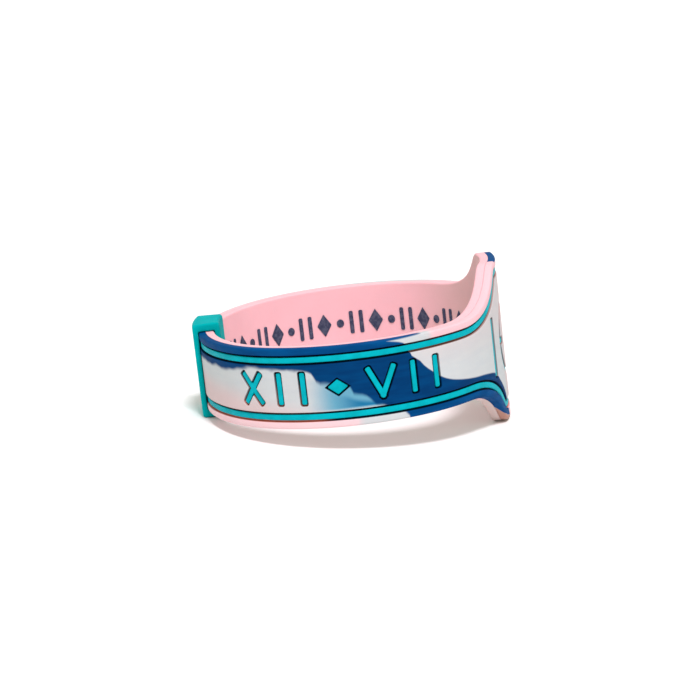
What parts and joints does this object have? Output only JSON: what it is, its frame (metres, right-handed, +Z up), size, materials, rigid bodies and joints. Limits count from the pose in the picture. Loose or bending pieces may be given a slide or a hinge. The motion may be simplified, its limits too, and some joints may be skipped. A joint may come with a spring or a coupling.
{
  "type": "wristband",
  "caption": "Silicone wristband with a widened plate, colour-filled stripes and numerals, and a slide-on keeper loop.",
  "frame": {"origin": "on the floor under the middle of the whole part's box", "axes": "+X from the keeper to the plate, +Y along the long way of the loop away from the picture's camera, +Z up"},
  "size_m": [0.0656, 0.0696, 0.0328],
  "materials": {
    "pink_silicone": "matt moulded silicone, pale pink",
    "marbled_silicone": "matt moulded silicone, deep blue, white and pale pink marbled together",
    "teal_filling": "satin silicone paint, filled into the grooves and recesses",
    "slate_ink": "matt silicone ink, slate",
    "teal_silicone": "satin moulded silicone, teal"
  },
  "bodies": {
    "root": {"inner_layer": "pink_silicone", "outer_layer": "marbled_silicone", "upper_stripe": "teal_filling", "lower_stripe": "teal_filling", "front_numerals": "teal_filling", "back_numerals": "teal_filling", "plate_emblem": "teal_filling", "inside_print": "slate_ink", "keeper": "teal_silicone"}
  },
  "joints": []
}
